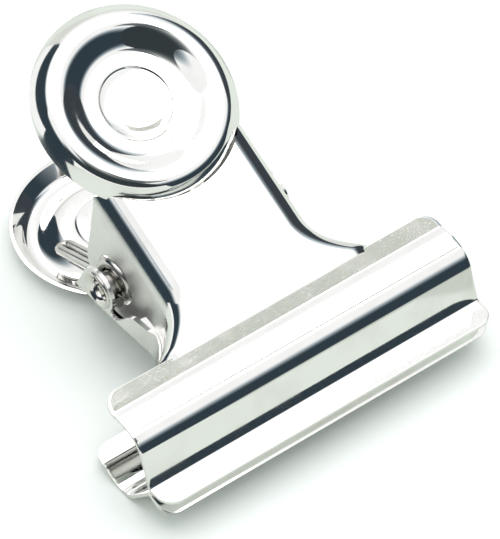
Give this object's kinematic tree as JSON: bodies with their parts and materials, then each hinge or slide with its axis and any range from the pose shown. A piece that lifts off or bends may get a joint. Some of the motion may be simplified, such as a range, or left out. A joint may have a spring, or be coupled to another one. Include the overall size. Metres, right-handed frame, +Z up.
{
  "type": "bulldog clip",
  "caption": "Round-headed metal clip: two stamped, nickel-plated halves on a hollow pivot tube, held shut by one wound wire spring.",
  "frame": {"origin": "centre of the clip's box on the table it lies on, with the jaws shut", "axes": "+X along the jaws and the pivot, +Y from the jaws to the round heads, +Z up from the table"},
  "size_m": [0.051, 0.06, 0.0361],
  "materials": {
    "nickel_plate": "bright nickel plate",
    "spring_wire": "bright nickel plate on wire",
    "tube_plate": "bright nickel plate on drawn tube"
  },
  "bodies": {
    "lower_half": {"lower_jaw": "nickel_plate", "pivot_tube": "tube_plate", "torsion_spring": "spring_wire"},
    "upper_half": {"upper_jaw": "nickel_plate"}
  },
  "joints": [
    {"name": "jaw_hinge", "type": "hinge", "parent": "lower_half", "child": "upper_half", "pos_m": [0, 0.00012, 0.01205], "axis": [-1, 0, 0], "range_deg": [0, 40], "stiffness_Nm_per_rad": 0.25, "springref_deg": -45.84, "deforming": ["torsion_spring"]}
  ]
}
